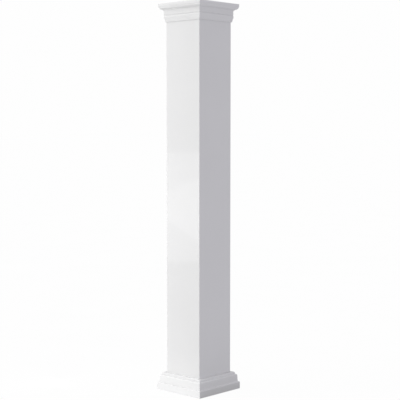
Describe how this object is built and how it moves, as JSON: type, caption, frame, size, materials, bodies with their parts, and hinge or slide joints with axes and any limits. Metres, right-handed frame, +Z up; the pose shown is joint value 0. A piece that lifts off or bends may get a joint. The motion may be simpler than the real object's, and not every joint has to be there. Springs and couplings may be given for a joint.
{
  "type": "square column",
  "caption": "Square hollow box column with mitred boards, a stepped crown capital and a moulded base, in semi-gloss white PVC; stands from floor to beam around a structural post.",
  "frame": {"origin": "floor level at the middle of the shaft", "axes": "+Z up along the column, front face towards -Y and right face towards +X"},
  "size_m": [0.3738, 0.3738, 2.4384],
  "materials": {
    "shaft_pvc": "semi-gloss white",
    "trim_pvc": "semi-gloss white"
  },
  "bodies": {
    "root": {"shaft_board_front": "shaft_pvc", "shaft_board_right": "shaft_pvc", "shaft_board_back": "shaft_pvc", "shaft_board_left": "shaft_pvc", "capital_moulding_front": "trim_pvc", "capital_moulding_right": "trim_pvc", "capital_moulding_back": "trim_pvc", "capital_moulding_left": "trim_pvc", "base_moulding_front": "trim_pvc", "base_moulding_right": "trim_pvc", "base_moulding_back": "trim_pvc", "base_moulding_left": "trim_pvc"}
  },
  "joints": []
}
